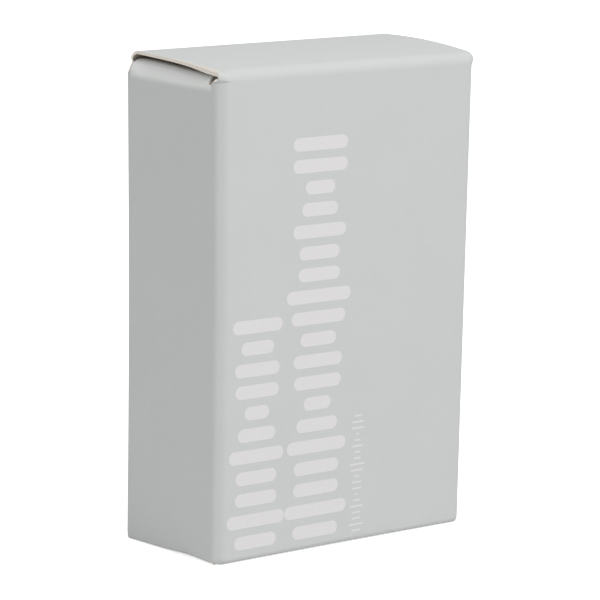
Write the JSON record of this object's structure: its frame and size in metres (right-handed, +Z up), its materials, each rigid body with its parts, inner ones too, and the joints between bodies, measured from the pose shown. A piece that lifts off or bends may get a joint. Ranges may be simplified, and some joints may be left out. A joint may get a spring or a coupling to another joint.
{
  "type": "foam ear plugs in a tuck end carton",
  "caption": "Upright paperboard carton with tucked lid and base, dust flaps and a glue flap, filled with loose bullet-shaped foam ear plugs in layers.",
  "frame": {"origin": "centre of the carton's base, on the surface it stands on", "axes": "+Z up, +X across the broad face, -Y towards the printed front that the lid is hinged to"},
  "size_m": [0.053, 0.025, 0.0813],
  "materials": {
    "board_outside": "matte coated paperboard in pale grey-green",
    "board_inside": "uncoated brown-grey board",
    "plug_foam": "soft matte slow-recovery foam with fine pores"
  },
  "bodies": {
    "sleeve": {"front_panel": "board_outside", "back_panel": "board_outside", "left_panel": "board_outside", "right_panel": "board_outside", "glue_flap": "board_inside"},
    "lid": {"lid_panel": "board_outside"},
    "lid_tuck": {"lid_tuck_flap": "board_outside"},
    "top_dust_left": {"top_dust_flap_left": "board_outside"},
    "top_dust_right": {"top_dust_flap_right": "board_outside"},
    "base": {"base_panel": "board_outside"},
    "base_tuck": {"base_tuck_flap": "board_outside"},
    "base_dust_left": {"base_dust_flap_left": "board_outside"},
    "base_dust_right": {"base_dust_flap_right": "board_outside"},
    "plug_01": {"ear_plug_01": "plug_foam"},
    "plug_02": {"ear_plug_02": "plug_foam"},
    "plug_03": {"ear_plug_03": "plug_foam"},
    "plug_04": {"ear_plug_04": "plug_foam"},
    "plug_05": {"ear_plug_05": "plug_foam"},
    "plug_06": {"ear_plug_06": "plug_foam"},
    "plug_07": {"ear_plug_07": "plug_foam"},
    "plug_08": {"ear_plug_08": "plug_foam"},
    "plug_09": {"ear_plug_09": "plug_foam"},
    "plug_10": {"ear_plug_10": "plug_foam"},
    "plug_11": {"ear_plug_11": "plug_foam"},
    "plug_12": {"ear_plug_12": "plug_foam"},
    "plug_13": {"ear_plug_13": "plug_foam"},
    "plug_14": {"ear_plug_14": "plug_foam"},
    "plug_15": {"ear_plug_15": "plug_foam"},
    "plug_16": {"ear_plug_16": "plug_foam"},
    "plug_17": {"ear_plug_17": "plug_foam"},
    "plug_18": {"ear_plug_18": "plug_foam"},
    "plug_19": {"ear_plug_19": "plug_foam"},
    "plug_20": {"ear_plug_20": "plug_foam"},
    "plug_21": {"ear_plug_21": "plug_foam"},
    "plug_22": {"ear_plug_22": "plug_foam"},
    "plug_23": {"ear_plug_23": "plug_foam"},
    "plug_24": {"ear_plug_24": "plug_foam"}
  },
  "joints": [
    {"name": "lid_hinge", "type": "hinge", "parent": "sleeve", "child": "lid", "pos_m": [0, -0.0125, 0.07972], "axis": [1, 0, 0], "range_deg": [0, 175]},
    {"name": "lid_tuck_hinge", "type": "hinge", "parent": "lid", "child": "lid_tuck", "pos_m": [0, 0.01198, 0.08124], "axis": [1, 0, 0], "range_deg": [0, 9]},
    {"name": "top_dust_left_hinge", "type": "hinge", "parent": "sleeve", "child": "top_dust_left", "pos_m": [-0.0265, 0, 0.0789], "axis": [0, -1, 0], "range_deg": [0, 88]},
    {"name": "top_dust_right_hinge", "type": "hinge", "parent": "sleeve", "child": "top_dust_right", "pos_m": [0.0265, 0, 0.0789], "axis": [0, 1, 0], "range_deg": [0, 88]},
    {"name": "base_hinge", "type": "hinge", "parent": "sleeve", "child": "base", "pos_m": [0, -0.0125, 0], "axis": [-1, 0, 0], "range_deg": [0, 175]},
    {"name": "base_tuck_hinge", "type": "hinge", "parent": "base", "child": "base_tuck", "pos_m": [0, 0.01203, 0], "axis": [-1, 0, 0], "range_deg": [0, 9]},
    {"name": "base_dust_left_hinge", "type": "hinge", "parent": "sleeve", "child": "base_dust_left", "pos_m": [-0.0265, 0, 0.00085], "axis": [0, 1, 0], "range_deg": [0, 88]},
    {"name": "base_dust_right_hinge", "type": "hinge", "parent": "sleeve", "child": "base_dust_right", "pos_m": [0.0265, 0, 0.00085], "axis": [0, -1, 0], "range_deg": [0, 88]},
    {"name": "plug_01_slide", "type": "slide", "parent": "sleeve", "child": "plug_01", "axis": [0, 0, 1], "range_m": [0, 0.016]},
    {"name": "plug_02_slide", "type": "slide", "parent": "sleeve", "child": "plug_02", "axis": [0, 0, 1], "range_m": [0, 0.016]},
    {"name": "plug_03_slide", "type": "slide", "parent": "sleeve", "child": "plug_03", "axis": [0, 0, 1], "range_m": [0, 0.016]},
    {"name": "plug_04_slide", "type": "slide", "parent": "sleeve", "child": "plug_04", "axis": [0, 0, 1], "range_m": [0, 0.016]},
    {"name": "plug_05_slide", "type": "slide", "parent": "sleeve", "child": "plug_05", "axis": [0, 0, 1], "range_m": [0, 0.016]},
    {"name": "plug_06_slide", "type": "slide", "parent": "sleeve", "child": "plug_06", "axis": [0, 0, 1], "range_m": [0, 0.016]},
    {"name": "plug_07_slide", "type": "slide", "parent": "sleeve", "child": "plug_07", "axis": [0, 0, 1], "range_m": [0, 0.016]},
    {"name": "plug_08_slide", "type": "slide", "parent": "sleeve", "child": "plug_08", "axis": [0, 0, 1], "range_m": [0, 0.016]},
    {"name": "plug_09_slide", "type": "slide", "parent": "sleeve", "child": "plug_09", "axis": [0, 0, 1], "range_m": [0, 0.009]},
    {"name": "plug_10_slide", "type": "slide", "parent": "sleeve", "child": "plug_10", "axis": [0, 0, 1], "range_m": [0, 0.009]},
    {"name": "plug_11_slide", "type": "slide", "parent": "sleeve", "child": "plug_11", "axis": [0, 0, 1], "range_m": [0, 0.009]},
    {"name": "plug_12_slide", "type": "slide", "parent": "sleeve", "child": "plug_12", "axis": [0, 0, 1], "range_m": [0, 0.009]},
    {"name": "plug_13_slide", "type": "slide", "parent": "sleeve", "child": "plug_13", "axis": [0, 0, 1], "range_m": [0, 0.009]},
    {"name": "plug_14_slide", "type": "slide", "parent": "sleeve", "child": "plug_14", "axis": [0, 0, 1], "range_m": [0, 0.009]},
    {"name": "plug_15_slide", "type": "slide", "parent": "sleeve", "child": "plug_15", "axis": [0, 0, 1], "range_m": [0, 0.009]},
    {"name": "plug_16_slide", "type": "slide", "parent": "sleeve", "child": "plug_16", "axis": [0, 0, 1], "range_m": [0, 0.009]},
    {"name": "plug_17_slide", "type": "slide", "parent": "sleeve", "child": "plug_17", "axis": [0, 0, 1], "range_m": [0, 0.003]},
    {"name": "plug_18_slide", "type": "slide", "parent": "sleeve", "child": "plug_18", "axis": [0, 0, 1], "range_m": [0, 0.003]},
    {"name": "plug_19_slide", "type": "slide", "parent": "sleeve", "child": "plug_19", "axis": [0, 0, 1], "range_m": [0, 0.003]},
    {"name": "plug_20_slide", "type": "slide", "parent": "sleeve", "child": "plug_20", "axis": [0, 0, 1], "range_m": [0, 0.003]},
    {"name": "plug_21_slide", "type": "slide", "parent": "sleeve", "child": "plug_21", "axis": [0, 0, 1], "range_m": [0, 0.003]},
    {"name": "plug_22_slide", "type": "slide", "parent": "sleeve", "child": "plug_22", "axis": [0, 0, 1], "range_m": [0, 0.003]},
    {"name": "plug_23_slide", "type": "slide", "parent": "sleeve", "child": "plug_23", "axis": [0, 0, 1], "range_m": [0, 0.003]},
    {"name": "plug_24_slide", "type": "slide", "parent": "sleeve", "child": "plug_24", "axis": [0, 0, 1], "range_m": [0, 0.003]}
  ],
  "couplings": [
    {"joint": "lid_tuck_hinge", "follows": "lid_hinge", "ratio": 0.05},
    {"joint": "top_dust_left_hinge", "follows": "lid_hinge", "ratio": 0.5},
    {"joint": "top_dust_right_hinge", "follows": "lid_hinge", "ratio": 0.5},
    {"joint": "base_tuck_hinge", "follows": "base_hinge", "ratio": 0.05},
    {"joint": "base_dust_left_hinge", "follows": "base_hinge", "ratio": 0.5},
    {"joint": "base_dust_right_hinge", "follows": "base_hinge", "ratio": 0.5},
    {"joint": "plug_01_slide", "follows": "lid_hinge", "m_per_rad": 0.00523},
    {"joint": "plug_02_slide", "follows": "lid_hinge", "m_per_rad": 0.00523},
    {"joint": "plug_03_slide", "follows": "lid_hinge", "m_per_rad": 0.00523},
    {"joint": "plug_04_slide", "follows": "lid_hinge", "m_per_rad": 0.00523},
    {"joint": "plug_05_slide", "follows": "lid_hinge", "m_per_rad": 0.00523},
    {"joint": "plug_06_slide", "follows": "lid_hinge", "m_per_rad": 0.00523},
    {"joint": "plug_07_slide", "follows": "lid_hinge", "m_per_rad": 0.00523},
    {"joint": "plug_08_slide", "follows": "lid_hinge", "m_per_rad": 0.00523},
    {"joint": "plug_09_slide", "follows": "lid_hinge", "m_per_rad": 0.00294},
    {"joint": "plug_10_slide", "follows": "lid_hinge", "m_per_rad": 0.00294},
    {"joint": "plug_11_slide", "follows": "lid_hinge", "m_per_rad": 0.00294},
    {"joint": "plug_12_slide", "follows": "lid_hinge", "m_per_rad": 0.00294},
    {"joint": "plug_13_slide", "follows": "lid_hinge", "m_per_rad": 0.00294},
    {"joint": "plug_14_slide", "follows": "lid_hinge", "m_per_rad": 0.00294},
    {"joint": "plug_15_slide", "follows": "lid_hinge", "m_per_rad": 0.00294},
    {"joint": "plug_16_slide", "follows": "lid_hinge", "m_per_rad": 0.00294},
    {"joint": "plug_17_slide", "follows": "lid_hinge", "m_per_rad": 0.00098},
    {"joint": "plug_18_slide", "follows": "lid_hinge", "m_per_rad": 0.00098},
    {"joint": "plug_19_slide", "follows": "lid_hinge", "m_per_rad": 0.00098},
    {"joint": "plug_20_slide", "follows": "lid_hinge", "m_per_rad": 0.00098},
    {"joint": "plug_21_slide", "follows": "lid_hinge", "m_per_rad": 0.00098},
    {"joint": "plug_22_slide", "follows": "lid_hinge", "m_per_rad": 0.00098},
    {"joint": "plug_23_slide", "follows": "lid_hinge", "m_per_rad": 0.00098},
    {"joint": "plug_24_slide", "follows": "lid_hinge", "m_per_rad": 0.00098}
  ]
}
